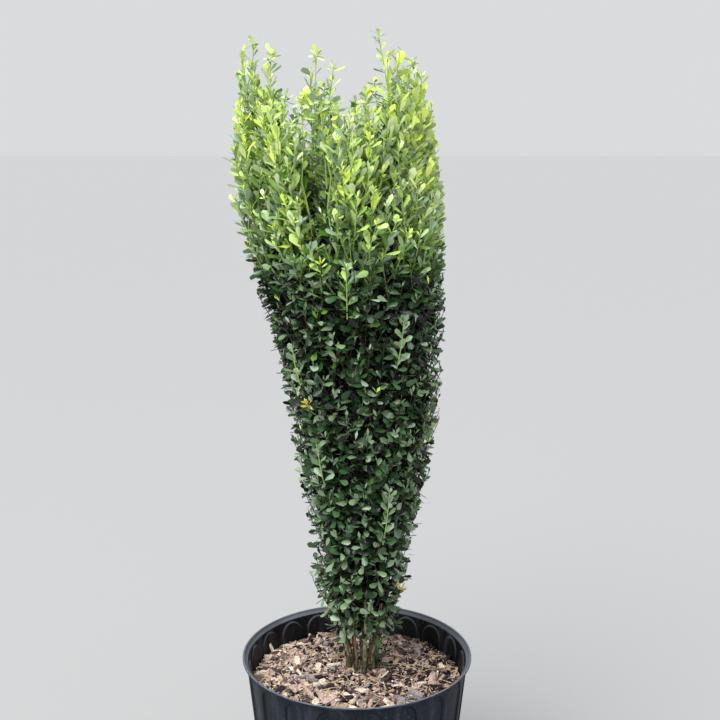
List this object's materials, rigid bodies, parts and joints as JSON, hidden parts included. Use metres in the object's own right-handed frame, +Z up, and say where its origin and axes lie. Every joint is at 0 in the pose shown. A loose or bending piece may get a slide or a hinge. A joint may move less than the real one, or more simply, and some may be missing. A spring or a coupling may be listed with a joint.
{
  "type": "potted japanese holly",
  "caption": "Small-leaved evergreen shrub with an upright vase-shaped crown of fine twigs, growing from bark mulch in a round fluted nursery pot.",
  "frame": {"origin": "centre of the pot's flat underside", "axes": "+Z up along the pot's axis, -Y towards the plant's best side, +X to the right as seen from there"},
  "size_m": [0.2794, 0.2794, 0.9768],
  "materials": {
    "pot": "dull black plastic with dust and scuffs",
    "soil": "loose bark mulch",
    "bark": "thin grey-tan bark",
    "foliage": "leathery glossy leaves"
  },
  "bodies": {
    "root": {"pot": "pot", "soil": "soil", "trunk": "bark", "stem_right": "bark", "stem_back_right": "bark", "stem_back": "bark", "stem_back_left": "bark", "stem_left": "bark", "stem_front_left": "bark", "stem_front": "bark", "stem_front_right": "bark", "stem_centre": "bark", "foliage_right": "foliage", "foliage_back_right": "foliage", "foliage_back": "foliage", "foliage_back_left": "foliage", "foliage_left": "foliage", "foliage_front_left": "foliage", "foliage_front": "foliage", "foliage_front_right": "foliage", "foliage_centre": "foliage", "low_sprig_right": "foliage", "low_sprig_back": "foliage", "low_sprig_left": "foliage", "low_sprig_front_left": "foliage", "low_sprig_front_right": "foliage"}
  },
  "joints": []
}
